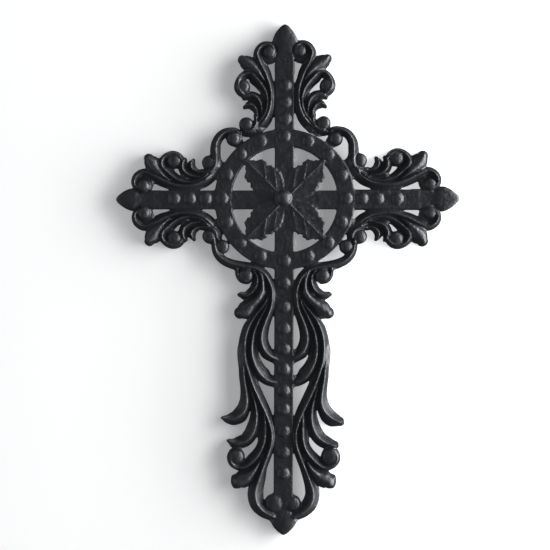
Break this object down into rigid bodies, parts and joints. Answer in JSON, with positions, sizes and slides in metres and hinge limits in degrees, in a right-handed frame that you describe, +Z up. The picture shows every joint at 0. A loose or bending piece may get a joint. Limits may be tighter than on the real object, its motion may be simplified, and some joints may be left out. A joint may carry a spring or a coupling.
{
  "type": "wall cross",
  "caption": "Openwork cast iron wall cross with scrolled leaf bands, rows of beads, a beaded ring and a four-leaf rosette at the crossing, flat at the back.",
  "frame": {"origin": "the crossing of the two bars, on the flat back that rests against the wall", "axes": "+X to the right as seen from the front, +Y out of the back into the wall, +Z up along the shaft"},
  "size_m": [0.2416, 0.0133, 0.3584],
  "materials": {
    "black_cast_iron": "satin black, fine sand-cast grain"
  },
  "bodies": {
    "root": {"cross_casting": "black_cast_iron"}
  },
  "joints": []
}
